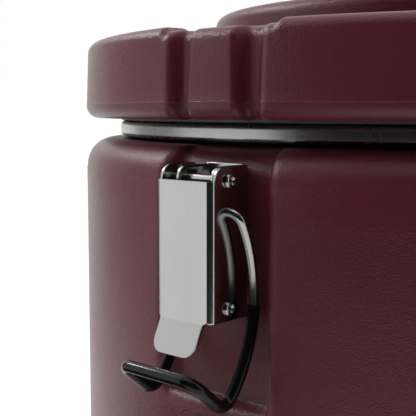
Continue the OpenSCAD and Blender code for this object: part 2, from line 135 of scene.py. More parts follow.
# Lid, heights above its lower edge
LID_Z = highest("lid_gasket").z - GASKET_GROOVE
PLATEAU_H = highest("lid_shell").z - LID_Z
PLUG_H = LID_Z - lowest("lid_shell").z
PLUG_R = 184.6
PLATEAU_R = 142.0
PLATEAU_ROUND = 6.0
RIM_H = 40.0
RIM_W = 18.5
RIM_ROUND = 5.5
EDGE_ROUND = 6.5
PLUG_ROUND = 4.0
PLUG_FILLET = 1.0
TROUGH_H = 23.0
TROUGH_ROUND = 7.0
LID_DRAFT = 1.5
LID_DRAFT_RUN = 6.0
LID_RIDGE_Z = 7.5
LID_RIDGE = 0.25
LID_RIDGE_HALF = 0.7
CATCH_DROP = 2.0
CATCH_LAND = 29.5
CATCH_STEP = 4.5
CATCH_HALF = 9.6
CATCH_ROUND = 3.0
CATCH_TURN = 78.0
CATCH_LEAN = 1.8
CATCH_FROM_H = 22.0
CATCH_RUN_H = 14.0
CATCH_FROM_R = 185.0
CATCH_RUN_R = 8.0
GROOVE_OUT = 29.4
GROOVE_ROUND = 5.5
GROOVE_TURN = 70.0
GROOVE_LEAN = 0.7
GROOVE_DEPTH = 6.7
GROOVE_FILLET = 2.5
GROOVE_FROM_R = 201.0
GROOVE_RUN_R = 9.0

# Vent in the lid
VENT_POCKET_R = 27.0
VENT_POCKET_FOOT = 3.0
VENT_POCKET_EDGE = 2.0
VENT_FLOOR = PLATEAU_H - 12.0
VENT_R = 6.0
VENT_TUBE_R = 9.0
VENT_HOLE_R = 9.1
VENT_HOLE_EDGE = 2.0
VENT_CHAMFER = 0.8
VENT_FLANGE_R = 15.0
VENT_FLANGE_H = 2.5
VENT_FLANGE_ROUND = 1.0
VENT_CAP_R = 17.0
VENT_CAP_H = 6.0
VENT_CAP_FOOT = 1.2
VENT_CAP_ROUND = 2.4
VENT_DISH_R = 10.0
VENT_DISH_EDGE = 1.0
VENT_DISH_FOOT_R = 7.0
VENT_DISH_FOOT = 1.4
VENT_DISH_DEPTH = 1.6
VENT_STEM_R = 5.9
VENT_STEM_H = 14.0

# Draw latch: n is the distance out from the carrier's axis, t runs across, z is the height
FLOOR_N = BODY_R - RECESS_DEPTH
PIVOT_N = -joints["front_lever_hinge"]["pos_m"][1] / MM
PIVOT_Z = joints["front_lever_hinge"]["pos_m"][2] / MM
HOLE_Z = joints["front_loop_hinge"]["pos_m"][2] / MM
RIVET_Z = 0.5 * (lowest("front_cross_rivet").z + highest("front_cross_rivet").z)
LEVER_HALF = highest("front_lever").x
LEVER_SHEET = 1.2
LEVER_BEND = 2.5
LEVER_EDGE = 0.22
LEVER_END_ROW = 0.01
FACE_N = PIVOT_N + 10.7
BACK_N = PIVOT_N - 11.2
LEVER_H = 56.4
LEVER_BOTTOM = PIVOT_Z - LEVER_H
FLANGE_RISE = highest("front_lever").z - PIVOT_Z + 0.8
CROWN_N = FACE_N - LEVER_BEND - FLANGE_RISE
TAB_LEFT = -13.4
TAB_RIGHT = 10.4
TAB_L = 14.9
TAB_ANGLE = math.radians(24.0)
TAB_BEND = 5.0
TAB_ROUND = 5.6
TAB_FILLET = 2.1
TAB_FROM = TAB_LEFT - HAIR
TAB_TO = TAB_RIGHT + TAB_FILLET + HAIR
TAB_ROOT_ROWS = (0.0, 0.3, 0.8, 1.6)
TAB_STRAIGHT_FROM = 2.6
BRACKET_DROP = 0.5
BRACKET_SHIFT = 1.8
BRACKET_EDGE = 0.25
SCREW_EDGE = 0.25
FOAM_PLUG_EDGE = 0.6
PIN_R = 2.2
PIN_HEAD_R = 3.0
PIN_HEAD_H = 1.4
PIN_HEAD_ROUND = 0.8
PIN_GAP = 0.3
DIMPLE_R = 0.9
DIMPLE_DEPTH = 0.9
DIMPLE_RIM_R = 1.25
DIMPLE_RIM_DEPTH = 0.5
CREST_R = 1.7
CREST_ROUND = 0.45

# Wire loop
WIRE_R = 2.0
SLEEVE_R = 2.6
WIRE_BEND = 5.0
WIRE_END = 2.3
WIRE_TIP = (0.8, 1.0)
LOOP_T = LEVER_HALF + WIRE_BEND
LEG_GAP = 1.2
LEG_CURVE = 62.4
LEG_SWEEP = 68.0
SLEEVE_FROM = 32.0
SLEEVE_ROLL_AT = (0.0, 0.15, 0.5)
SLEEVE_ROLL = (0.86, 0.96)
HOOK_BEND = 5.8
HOOK_TURN = 91.0
HOOK_L = 17.2

# The photo's camera, as a place out from the front latch and a view direction
CAMERA_RIGHT = 252.9
CAMERA_OUT = 486.3
CAMERA_OVER_LID_EDGE = 4.7
CAMERA_LOOK = (-0.6779, 0.7271, -0.1083)
FOCAL_PIXELS = 908.4
FRAME_PIXELS = 416
SENSOR = 36.0


# Outlines: lists of (radius, height) points in millimetres
def arc(mid_r, mid_z, radius, start, stop, steps):
    angles = np.radians(np.linspace(start, stop, steps + 1))
    return [(mid_r + radius * math.cos(a), mid_z + radius * math.sin(a)) for a in angles]


def line(start, stop, steps=1):
    return [tuple(p) for p in np.linspace(start, stop, steps + 1)]


def joined(*stretches):
    points = []
    for point in (p for stretch in stretches for p in stretch):
        if not points or math.dist(point, points[-1]) > SAME_POINT:
            points.append(point)
    return points


def smooth(x):
    x = np.clip(x, 0.0, 1.0)
    return x * x * (3.0 - 2.0 * x)


def step_edge(depth, top_r, foot_r, degrees):
    """Section of a moulded step, as distances from its foot and the share of the depth left there."""
    turn = math.radians(degrees)
    slope = (depth - (top_r + foot_r) * (1 - math.cos(turn))) / math.tan(turn)
    span = (top_r + foot_r) * math.sin(turn) + slope
    foot = arc(0, foot_r - depth, foot_r, -90, degrees - 90, 5)
    top = arc(span, -top_r, top_r, 90 + degrees, 90, 9)
    away, height = zip(*(foot + top))
    return np.array(away), -np.array(height) / depth


def toward(degrees):
    return np.array([math.cos(math.radians(degrees)), math.sin(math.radians(degrees))])


# Modelling steps
def pick(piece):
    bpy.ops.object.select_all(action="DESELECT")
    piece.select_set(True)
    bpy.context.view_layer.objects.active = piece


def new_piece(name, verts, edges):
    mesh = bpy.data.meshes.new(name)
    mesh.from_pydata(verts, edges, [])
    piece = bpy.data.objects.new(name, mesh)
    bpy.context.scene.collection.objects.link(piece)
    pick(piece)
    return piece


def chain(count, closed):
    edges = [(i, i + 1) for i in range(count - 1)]
    return edges + [(count - 1, 0)] if closed else edges


def spun(piece, spins, centre, axis):
    """Spins a drawn outline round an axis, in stretches of (degrees, steps), and closes the seam."""
    pick(piece)
    bpy.ops.object.mode_set(mode="EDIT")
    bpy.ops.mesh.select_all(action="SELECT")
    for degrees, steps in spins:
        bpy.ops.mesh.spin(steps=steps, angle=math.radians(degrees), center=centre, axis=axis)
    bpy.ops.mesh.select_all(action="SELECT")
    bpy.ops.mesh.remove_doubles(threshold=0.000002)
    bpy.ops.mesh.normals_make_consistent(inside=False)
    bpy.ops.object.mode_set(mode="OBJECT")
    bpy.ops.object.shade_smooth_by_angle(angle=math.radians(35))
    return piece


def turned(name, outline, quarter, closed=False):
    """Turns an outline round the carrier's axis from the front latch, each quarter mirroring the last."""
    verts = [(0.0, -r * MM, z * MM) for r, z in outline]
    piece = new_piece(name, verts, chain(len(verts), closed))
    whole = 2 * (list(quarter) + list(reversed(quarter)))
    return spun(piece, whole, (0, 0, 0), (0, 0, 1))


def pressed(piece, shape):
    """Moves every point of a turned piece as the shape says, in radius, height and angle from the front."""
    mesh = piece.data
    flat = np.empty(len(mesh.vertices) * 3, dtype=np.float32)
    mesh.vertices.foreach_get("co", flat)
    x, y, z = flat.reshape(-1, 3).T.astype(float) / MM
    around = np.arctan2(x, -y)
    r, z = shape(np.hypot(x, y), z, around)
    moved = np.stack([r * np.sin(around), -r * np.cos(around), z], -1) * MM
    mesh.vertices.foreach_set("co", moved.astype(np.float32).ravel())
    mesh.update()


def thicken(piece, wall):
    pick(piece)
    solidify = piece.modifiers.new("wall", "SOLIDIFY")
    solidify.thickness = wall * MM
    solidify.offset = -1.0
    bpy.ops.object.modifier_apply(modifier=solidify.name)


def soften(piece, width, angle=40.0, segments=2):
    """Rounds the sharp edges of a piece and shades the rest smooth."""
    pick(piece)
    bevel = piece.modifiers.new("edges", "BEVEL")
    bevel.width = width * MM
    bevel.segments = segments
    bevel.limit_method = "ANGLE"
    bevel.angle_limit = math.radians(angle)
    bpy.ops.object.modifier_apply(modifier=bevel.name)
    bpy.ops.object.shade_smooth_by_angle(angle=math.radians(angle))


def softened_copy(name, width):
    """A copy of a node's solid, merged, with its edges rounded."""
    piece = bpy.data.objects.new(name + "_finished", nodes[name].data.copy())
    bpy.context.scene.collection.objects.link(piece)
    pick(piece)
    bpy.ops.object.mode_set(mode="EDIT")
    bpy.ops.mesh.select_all(action="SELECT")
    bpy.ops.mesh.remove_doubles(threshold=0.000001)
    bpy.ops.mesh.dissolve_limited(angle_limit=math.radians(0.5))
    bpy.ops.object.mode_set(mode="OBJECT")
    soften(piece, width)
    return piece


def opposite(piece, name):
    """The same piece on the back latch, half a turn round."""
    copy = bpy.data.objects.new(name, piece.data.copy())
    copy.data.transform(Matrix.Rotation(math.pi, 4, "Z"))
    bpy.context.scene.collection.objects.link(copy)
    return copy


def latch_angle(around):
    """Angle from the nearer of the two latches."""
    return (around + math.pi / 2) % math.pi - math.pi / 2


def grip_angle(around):
    """Angle from the nearer of the two grips."""
    return around % math.pi - math.pi / 2


# Body
BODY_QUARTER = ((6.2, 8), (3.6, 30), (60.7, 26), (6.0, 12), (13.5, 8))
RECESS_WALL = step_edge(RECESS_DEPTH, RECESS_ROUND, RECESS_FILLET, RECESS_TURN)
LEDGE_WALL = step_edge(RECESS_DEPTH, RECESS_ROUND, RECESS_FILLET, LEDGE_TURN)
GRIP_PATH = joined(
    line((BODY_R, GRIP_LOW), (BODY_R, GRIP_FLOOR - GRIP_EDGE), 2),
    arc(BODY_R - GRIP_EDGE, GRIP_FLOOR - GRIP_EDGE, GRIP_EDGE, 0, 90, 4),
    line((BODY_R - GRIP_EDGE, GRIP_FLOOR), (GRIP_BACK + GRIP_CORNER, GRIP_FLOOR), 2),
    arc(GRIP_BACK + GRIP_CORNER, GRIP_FLOOR + GRIP_CORNER, GRIP_CORNER, 270, 180, 4),
    line((GRIP_BACK, GRIP_FLOOR + GRIP_CORNER), (GRIP_BACK, GRIP_ROOF - GRIP_CORNER), 3),
    arc(GRIP_BACK + GRIP_CORNER, GRIP_ROOF - GRIP_CORNER, GRIP_CORNER, 180, 90, 3),
    arc(GRIP_LIP - GRIP_EDGE, GRIP_ROOF - GRIP_EDGE, GRIP_EDGE, 90, 0, 3),
    arc(GRIP_LIP + GRIP_CORNER, GRIP_LIP_Z + GRIP_CORNER, GRIP_CORNER, 180, 360, 8),
    line((BODY_R, GRIP_LIP_Z + GRIP_CORNER), (BODY_R, GRIP_HIGH), 4),
)
GRIP_ROWS = len(GRIP_PATH) - 1
GRIP_FLOOR_ROW = next(row for row, point in enumerate(GRIP_PATH) if point[1] > GRIP_FLOOR - HAIR)
GRIP_LIP_ROW = GRIP_PATH.index(min(GRIP_PATH[GRIP_ROWS // 2:], key=lambda point: point[1]))


def body_outline():
    shoulder_z = BODY_H - SHOULDER
    top = BODY_H - PARTING_STEP
    return joined(
        line((0, STACK_DEPTH), (STACK_R - STACK_ROUND, STACK_DEPTH), 5),
        arc(STACK_R - STACK_ROUND, STACK_DEPTH - STACK_ROUND, STACK_ROUND, 90, 0, 3),
        arc(STACK_R + STACK_ROUND, STACK_ROUND, STACK_ROUND, 180, 270, 3),
        line((STACK_R + STACK_ROUND, 0), (BODY_R - FOOT_ROUND, 0), 3),
        arc(BODY_R - FOOT_ROUND, FOOT_ROUND, FOOT_ROUND, 270, 360, 8),
        line((BODY_R, FOOT_ROUND), (BODY_R, GRIP_LOW), 4),
        line((BODY_R, GRIP_LOW), (BODY_R, GRIP_FLOOR), GRIP_FLOOR_ROW),
        line((BODY_R, GRIP_FLOOR), (BODY_R, GRIP_LIP_Z), GRIP_LIP_ROW - GRIP_FLOOR_ROW),
        line((BODY_R, GRIP_LIP_Z), (BODY_R, GRIP_HIGH), GRIP_ROWS - GRIP_LIP_ROW),
        line((BODY_R, GRIP_HIGH), (BODY_R, LEDGE_FOOT_Z - LEDGE_RUN), 2),
        line((BODY_R, LEDGE_FOOT_Z - LEDGE_RUN), (BODY_R, LEDGE_FOOT_Z), 14),
        line((BODY_R, LEDGE_FOOT_Z), (BODY_R, shoulder_z - PARTING_LOW), 6),
        line((BODY_R, shoulder_z - PARTING_LOW), (BODY_R - PARTING_STEP, shoulder_z - PARTING_HIGH)),
        arc(BODY_R - SHOULDER, shoulder_z, SHOULDER - PARTING_STEP, 0, 90, 14),
        line((BODY_R - SHOULDER, top), (MOUTH_R + MOUTH_ROUND, top), 6),
        arc(MOUTH_R + MOUTH_ROUND, top - MOUTH_ROUND, MOUTH_ROUND, 90, 180, 2),
        line((MOUTH_R, top - MOUTH_ROUND), (MOUTH_R, BODY_H - WALL)),
    )


def press_recesses(r, z, around):
    """Radius with the two latch recesses pressed in, each with a round edge and a tight foot."""
    across = latch_angle(around)
    wall = np.interp(np.abs(BODY_R * np.sin(across)) - RECESS_FOOT, *RECESS_WALL)
    ledge = np.interp(LEDGE_FOOT_Z - z, *LEDGE_WALL)
    land = smooth((r - LAND_R) / (BODY_R - SHOULDER - LAND_R))
    near = (np.abs(across) < LATCH_SPAN) & (r > RECESS_INNER_R)
    flat = np.where(near, (r - RECESS_DEPTH) / np.cos(across), r)
    return r - wall * ledge * land * np.maximum(r - flat, 0.0)


def press_grips(r, z, around):
    """The two hand grips: the wall's rows follow the grip's path in, up behind the lip and out again."""
    side = (r > BODY_R - HAIR) & (z >= GRIP_LOW) & (z <= GRIP_HIGH)
    turn = grip_angle(around)
    beside = np.abs(BODY_R * np.sin(turn))
    pocket = side * smooth((GRIP_HALF + GRIP_WALL / 2 - beside) / GRIP_WALL)
    heights = (GRIP_LOW, GRIP_FLOOR, GRIP_LIP_Z, GRIP_HIGH)
    row = np.interp(z, heights, (0, GRIP_FLOOR_ROW, GRIP_LIP_ROW, GRIP_ROWS))
    path_r, path_z = (np.interp(row, np.arange(GRIP_ROWS + 1), column) for column in zip(*GRIP_PATH))
    behind_lip = (row < GRIP_LIP_ROW) * np.maximum(path_z - GRIP_LIP_Z, 0.0)
    path_z = path_z - GRIP_ROOF_FALL * smooth((beside - GRIP_HOLLOW) / (2 * GRIP_WALL)) * behind_lip
    pushed = np.minimum(BODY_R, path_r / np.maximum(np.cos(turn), GRIP_LEAST_COS))
    return r + pocket * (pushed - r), z + pocket * (path_z - z)


def press_body(r, z, around):
    return press_grips(press_recesses(r, z, around), z, around)


def body_moulding():
    piece = turned("body_moulding", body_outline(), BODY_QUARTER)
    pressed(piece, press_body)
    thicken(piece, WALL)
    return piece


# Lid
LID_QUARTER = ((9.0, 60), (6.0, 15), (75.0, 46))
CATCH_WALL = step_edge(GROOVE_DEPTH, CATCH_ROUND, GROOVE_FILLET, CATCH_TURN)
GROOVE_WALL = step_edge(GROOVE_DEPTH, GROOVE_ROUND, GROOVE_FILLET, GROOVE_TURN)


def lid_outline():
    inner = BODY_R - RIM_W
    pocket_foot = VENT_POCKET_R - VENT_POCKET_FOOT
    pocket_edge = VENT_POCKET_R + VENT_POCKET_EDGE
    groove_out = GASKET_R + GASKET_W
    return joined(
        line((VENT_HOLE_R, VENT_FLOOR), (pocket_foot, VENT_FLOOR), 2),
        arc(pocket_foot, VENT_FLOOR + VENT_POCKET_FOOT, VENT_POCKET_FOOT, 270, 360, 3),
        arc(pocket_edge, PLATEAU_H - VENT_POCKET_EDGE, VENT_POCKET_EDGE, 180, 90, 3),
        line((pocket_edge, PLATEAU_H), (PLATEAU_R - PLATEAU_ROUND, PLATEAU_H), 5),
        arc(PLATEAU_R - PLATEAU_ROUND, PLATEAU_H - PLATEAU_ROUND, PLATEAU_ROUND, 90, 0, 7),
        line((PLATEAU_R, PLATEAU_H - PLATEAU_ROUND), (PLATEAU_R, TROUGH_H + TROUGH_ROUND), 2),
        arc(PLATEAU_R + TROUGH_ROUND, TROUGH_H + TROUGH_ROUND, TROUGH_ROUND, 180, 270, 5),
        line((PLATEAU_R + TROUGH_ROUND, TROUGH_H), (inner - TROUGH_ROUND, TROUGH_H), 3),
        arc(inner - TROUGH_ROUND, TROUGH_H + TROUGH_ROUND, TROUGH_ROUND, 270, 360, 5),
        arc(inner + RIM_ROUND, RIM_H - RIM_ROUND, RIM_ROUND, 180, 90, 6),
        line((inner + RIM_ROUND, RIM_H), (BODY_R - RIM_ROUND, RIM_H), 4),
        arc(BODY_R - RIM_ROUND, RIM_H - RIM_ROUND, RIM_ROUND, 90, 0, 8),
        line((BODY_R, RIM_H - RIM_ROUND), (BODY_R, LID_RIDGE_Z + LID_RIDGE_HALF), 5),
        [(BODY_R + LID_RIDGE, LID_RIDGE_Z), (BODY_R, LID_RIDGE_Z - LID_RIDGE_HALF)],
        arc(BODY_R - EDGE_ROUND, EDGE_ROUND, EDGE_ROUND, 0, -90, 7),
        line((BODY_R - EDGE_ROUND, 0), (groove_out, 0), 3),
        line((groove_out, 0), (groove_out, GASKET_GROOVE)),
        line((groove_out, GASKET_GROOVE), (GASKET_R, GASKET_GROOVE)),
        line((GASKET_R, GASKET_GROOVE), (GASKET_R, 0)),
        line((GASKET_R, 0), (PLUG_R + PLUG_FILLET, 0)),
        arc(PLUG_R + PLUG_FILLET, -PLUG_FILLET, PLUG_FILLET, 90, 180, 2),
        line((PLUG_R, -PLUG_FILLET), (PLUG_R, PLUG_ROUND - PLUG_H)),
        arc(PLUG_R - PLUG_ROUND, PLUG_ROUND - PLUG_H, PLUG_ROUND, 0, -90, 4),
        line((PLUG_R - PLUG_ROUND, -PLUG_H), (VENT_HOLE_R, -PLUG_H), 5),
        line((VENT_HOLE_R, -PLUG_H), (VENT_HOLE_R, VENT_FLOOR - VENT_HOLE_EDGE), 2),
    )


def press_lid(r, z, around):
    """The lowered catch over each latch and its two grooves: crisp at the catch, soft on the outer side."""
    inner = BODY_R - RIM_W
    across = latch_angle(around)
    near = np.abs(across) < LATCH_SPAN
    beside = np.where(near, np.abs(BODY_R * np.sin(across)), FAR)
    up = np.clip(z / RIM_H, 0, 1)
    lower = smooth((CATCH_LAND + CATCH_STEP - beside) / CATCH_STEP)
    top = smooth((z - CATCH_FROM_H) / CATCH_RUN_H) * smooth((r - CATCH_FROM_R) / CATCH_RUN_R)
    catch_foot = CATCH_HALF + CATCH_LEAN * (1 - up) + CATCH_WALL[0][-1]
    groove_foot = GROOVE_OUT - GROOVE_LEAN * (1 - up) - GROOVE_WALL[0][-1]
    catch_side = np.interp(catch_foot - beside, *CATCH_WALL)
    outer_side = np.interp(beside - groove_foot, *GROOVE_WALL)
    groove = np.minimum(catch_side, outer_side) * smooth((r - GROOVE_FROM_R) / GROOVE_RUN_R)
    flat = np.where(near, (r - GROOVE_DEPTH) / np.cos(across), r)
    draft = LID_DRAFT * up * smooth((r - inner + LID_DRAFT_RUN) / LID_DRAFT_RUN)
    r = r - draft - groove * np.maximum(r - flat, 0.0)
    return r, z - CATCH_DROP * lower * top + LID_Z


def lid_moulding():
    piece = turned("lid_moulding", lid_outline(), LID_QUARTER, closed=True)
    pressed(piece, press_lid)
    return piece


# Pot and gasket
PLAIN_QUARTER = ((90.0, 60),)
SMALL_QUARTER = ((90.0, 16),)


def pot_vessel():
    out_r = POT_R + POT_SHEET
    bend = POT_ROUND + POT_SHEET
    base_z = POT_FLOOR - POT_SHEET
    lip_z = BODY_H + POT_SHEET
    corner = BEAD_CORNER
    bead_in = BEAD_MID - BEAD_R + corner
    bead_out = BEAD_MID + BEAD_R - corner
    return turned("pot_vessel", joined(
        line((0, base_z), (out_r - bend, base_z), 4),
        arc(out_r - bend, base_z + bend, bend, 270, 360, 8),
        line((out_r, base_z + bend), (out_r, BODY_H), 4),
        line((out_r, BODY_H), (BEAD_MID - BEAD_TUCK, BODY_H), 2),
        arc(bead_out, BEAD_TOP - 2 * BEAD_R + corner, corner, -80, 0, 6),
        arc(bead_out, BEAD_TOP - corner, corner, 0, 90, 6),
        arc(bead_in, BEAD_TOP - corner, corner, 90, 180, 6),
        line((bead_in - corner, lip_z), (POT_R + POT_LIP_ROUND, lip_z), 3),
        arc(POT_R + POT_LIP_ROUND, lip_z - POT_LIP_ROUND, POT_LIP_ROUND, 90, 180, 4),
        line((POT_R, lip_z - POT_LIP_ROUND), (POT_R, POT_FLOOR + POT_ROUND), 5),
        arc(POT_R - POT_ROUND, POT_FLOOR + POT_ROUND, POT_ROUND, 0, -90, 8),
        line((POT_R - POT_ROUND, POT_FLOOR), (0, POT_FLOOR), 4),
    ), PLAIN_QUARTER)


def lid_seal():
    high = LID_Z + GASKET_GROOVE
    lip = GASKET_LIP
    right = GASKET_R + GASKET_W
    return turned("lid_seal", joined(
        line((GASKET_R, high), (GASKET_R, GASKET_LOW + lip)),
        arc(GASKET_R + lip, GASKET_LOW + lip, lip, 180, 270, 3),
        arc(right - lip, GASKET_LOW + lip, lip, 270, 360, 3),
        line((right, GASKET_LOW + lip), (right, high)),
    ), PLAIN_QUARTER, closed=True)


# Vent
def vent_bushing():
    low = lowest("vent_bush").z
    seat = LID_Z + VENT_FLOOR
    high = seat + VENT_FLANGE_H
    return turned("vent_bushing", joined(
        line((VENT_R, high - VENT_CHAMFER), (VENT_R, low), 2),
        line((VENT_R, low), (VENT_TUBE_R - VENT_CHAMFER, low)),
        line((VENT_TUBE_R, low + VENT_CHAMFER), (VENT_TUBE_R, seat)),
        line((VENT_TUBE_R, seat), (VENT_FLANGE_R, seat)),
        arc(VENT_FLANGE_R - VENT_FLANGE_ROUND, high - VENT_FLANGE_ROUND, VENT_FLANGE_ROUND, 0, 90, 3),
        line((VENT_FLANGE_R - VENT_FLANGE_ROUND, high), (VENT_R + VENT_CHAMFER, high)),
    ), SMALL_QUARTER, closed=True)


def vent_knob():
    low = lowest("vent_cap").z
    seat = low + VENT_STEM_H
    top = seat + VENT_CAP_H
    return turned("vent_knob", joined(
        line((0, low), (VENT_STEM_R - VENT_CHAMFER, low)),
        line((VENT_STEM_R, low + VENT_CHAMFER), (VENT_STEM_R, seat)),
        line((VENT_STEM_R, seat), (VENT_CAP_R - VENT_CAP_FOOT, seat)),
        arc(VENT_CAP_R - VENT_CAP_FOOT, seat + VENT_CAP_FOOT, VENT_CAP_FOOT, 270, 360, 3),
        arc(VENT_CAP_R - VENT_CAP_ROUND, top - VENT_CAP_ROUND, VENT_CAP_ROUND, 0, 90, 5),
        line((VENT_CAP_R - VENT_CAP_ROUND, top), (VENT_DISH_R, top)),
        arc(VENT_DISH_R, top - VENT_DISH_EDGE, VENT_DISH_EDGE, 90, 150, 2),
        line((VENT_DISH_FOOT_R, top - VENT_DISH_FOOT), (0, top - VENT_DISH_DEPTH)),
    ), SMALL_QUARTER)


# Lever: a flat blank whose columns run round the folds and whose lowest rows are the thumb tab
def lever_columns():
    flat = LEVER_HALF - LEVER_BEND
    fold = LEVER_BEND * math.pi / 2
    face = np.unique(np.concatenate([np.linspace(-flat, flat, 25), [TAB_RIGHT + TAB_FILLET]]))
    bend = flat + fold * np.linspace(0, 1, 9)[1:]
    crown = FLANGE_RISE * np.cos(np.radians(np.linspace(0, 90, 10)))
    depths = np.concatenate([FACE_N - LEVER_BEND - CROWN_N - crown, [FACE_N - LEVER_BEND - BACK_N]])
    side = np.concatenate([bend, flat + fold + depths[depths > 0.05]])
    return np.concatenate([-side[::-1], face, side])


def folded(u):
    """Place across and outwards of a column of the blank."""
    flat = LEVER_HALF - LEVER_BEND
    turn = np.clip((np.abs(u) - flat) / LEVER_BEND, 0, math.pi / 2)
    beyond = np.maximum(np.abs(u) - flat - LEVER_BEND * math.pi / 2, 0)
    t = np.sign(u) * (np.minimum(np.abs(u), flat) + LEVER_BEND * np.sin(turn))
    return t, FACE_N - LEVER_BEND * (1 - np.cos(turn)) - beyond


def flange_top(n):
    """Rise of the blank's upper edge: none over the face, a round crown over the flanges."""
    return np.sqrt(np.clip(FLANGE_RISE**2 - np.maximum(n - CROWN_N, 0) ** 2, 0, None))


def tab_edges(down):
    """Left and right edge of the thumb tab at a distance below its root."""
    fillet = TAB_FILLET - np.sqrt(np.maximum(TAB_FILLET**2 - np.maximum(TAB_FILLET - down, 0) ** 2, 0))
    left_in = np.maximum(TAB_ROUND - (TAB_L - down), 0)
    corner = TAB_ROUND - np.sqrt(np.maximum(TAB_ROUND**2 - left_in**2, 0))
    return TAB_LEFT + corner, TAB_RIGHT - corner + fillet


def channel_point(u, share):
    """Place of a point of the folded channel, from its column and its share of the height."""
    t, n = folded(u)
    rise = (LEVER_H + flange_top(n) * (abs(u) > LEVER_HALF)) * share
    return t, n, LEVER_BOTTOM + rise


def tab_point(u, down):
    """Place of a point of the thumb tab, from its column and its distance below the root."""
    left, right = tab_edges(down)
    along = (u - TAB_FROM) / (TAB_TO - TAB_FROM)
    turn = min(down / TAB_BEND, TAB_ANGLE)
    beyond = max(down - TAB_BEND * TAB_ANGLE, 0)
    out = TAB_BEND * (1 - math.cos(turn)) + beyond * math.sin(TAB_ANGLE)
    drop = TAB_BEND * math.sin(turn) + beyond * math.cos(TAB_ANGLE)
    return left + along * (right - left), FACE_N + out, LEVER_BOTTOM - drop


def cut_away(piece, spare):
    """Deletes points of a sheet, given by their numbers, and turns its faces one way."""
    pick(piece)
    bpy.ops.object.mode_set(mode="EDIT")
    bpy.ops.mesh.select_mode(type="VERT")
    bpy.ops.mesh.select_all(action="DESELECT")
    bpy.ops.object.mode_set(mode="OBJECT")
    for index in spare:
        piece.data.vertices[index].select = True
    bpy.ops.object.mode_set(mode="EDIT")
    bpy.ops.mesh.delete(type="VERT")
    bpy.ops.mesh.select_all(action="SELECT")
    bpy.ops.mesh.normals_make_consistent(inside=False)
    bpy.ops.object.mode_set(mode="OBJECT")


def lever_sheet():
    columns = lever_columns()
    straight = TAB_L - TAB_ROUND
    tip_rows = straight + TAB_ROUND * np.sin(np.radians(np.linspace(0, 88, 9)[1:]))
    tab_rows = np.concatenate([TAB_ROOT_ROWS, np.linspace(TAB_STRAIGHT_FROM, straight, 6), tip_rows])[::-1]
    lever_rows = np.concatenate([[LEVER_END_ROW], np.linspace(0, 1, 13)[1:-1], [1 - LEVER_END_ROW, 1.0]])
    rows = len(tab_rows) + len(lever_rows)
    bpy.ops.object.select_all(action="DESELECT")
    bpy.ops.mesh.primitive_grid_add(x_subdivisions=len(columns) - 1, y_subdivisions=rows - 1, size=2.0)
    piece = bpy.context.object
    piece.name = "front_lever_sheet"
    spare = []
    for vertex in piece.data.vertices:
        i = round((vertex.co.x + 1) / 2 * (len(columns) - 1))
        j = round((vertex.co.y + 1) / 2 * (rows - 1))
        u = columns[i]
        if j >= len(tab_rows):
            t, n, z = channel_point(u, lever_rows[j - len(tab_rows)])
        elif tab_rows[j] == 0.0:
            t, n, z = channel_point(u, 0.0)
        else:
            t, n, z = tab_point(u, tab_rows[j])
            if not TAB_FROM <= u <= TAB_TO:
                spare.append(vertex.index)
        vertex.co = Vector((t, -n, z)) * MM
    cut_away(piece, spare)
    thicken(piece, LEVER_SHEET)
    soften(piece, LEVER_EDGE)
    return piece


# Rivets: a shaft with two rolled heads, each with a dimple
def rivet(name, z, gap):
    seat = LEVER_HALF + gap
    top = seat + PIN_HEAD_H
    dimple = top - DIMPLE_DEPTH
    head = joined(
        [(dimple, 0.0), (dimple, DIMPLE_R), (top - DIMPLE_RIM_DEPTH, DIMPLE_RIM_R)],
        arc(top - CREST_ROUND, CREST_R, CREST_ROUND, 160, 20, 4),
        arc(top - PIN_HEAD_ROUND, PIN_HEAD_R - PIN_HEAD_ROUND, PIN_HEAD_ROUND, 30, 90, 4),
        [(seat, PIN_HEAD_R), (seat, PIN_R)],
    )
    outline = [(-x, r) for x, r in head] + head[::-1]
    verts = [(x * MM, -PIVOT_N * MM, (z + r) * MM) for x, r in outline]
    piece = new_piece(name, verts, chain(len(verts), closed=False))
    return spun(piece, [(360.0, 40)], (0, -PIVOT_N * MM, z * MM), (1, 0, 0))


# Wire loop: each leg leaves a hole in the lever, curves down and hooks, and a crossbar joins the hooks
def elbow(corner, heading, bend, tilts):
    points = []
    for tilt in np.radians(tilts):
        n, z = corner + bend * math.sin(tilt) * toward(heading)
        points.append((LOOP_T - bend * (1 - math.cos(tilt)), n, z))
    return points


def curve(mid, radius, start, stop, steps):
    return [(LOOP_T, *(mid + radius * toward(a))) for a in np.linspace(start, stop, steps + 1)]


